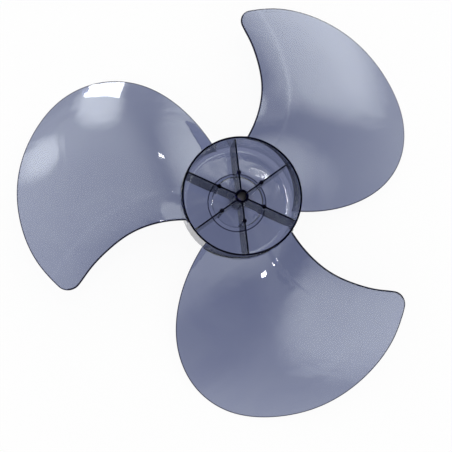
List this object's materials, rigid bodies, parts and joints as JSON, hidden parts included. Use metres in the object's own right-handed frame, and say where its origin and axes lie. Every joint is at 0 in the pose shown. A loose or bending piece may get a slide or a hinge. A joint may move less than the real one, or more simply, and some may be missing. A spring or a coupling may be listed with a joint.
{
  "type": "pedestal fan blade",
  "caption": "One-piece moulded axial fan rotor in smoky transparent plastic: swept, twisted blades round a ribbed cup hub with a shaft bore and a spinner seat.",
  "frame": {"origin": "on the bore axis at the boss's motor end", "axes": "+Z along the bore towards the motor, the open side of the hub; +X and +Y across it, one blade lies between +X and +Y"},
  "size_m": [0.3671, 0.3787, 0.0581],
  "materials": {
    "tinted_plastic": "transparent smoky blue-violet, polished"
  },
  "bodies": {
    "root": {"fan_blade": "tinted_plastic"}
  },
  "joints": []
}
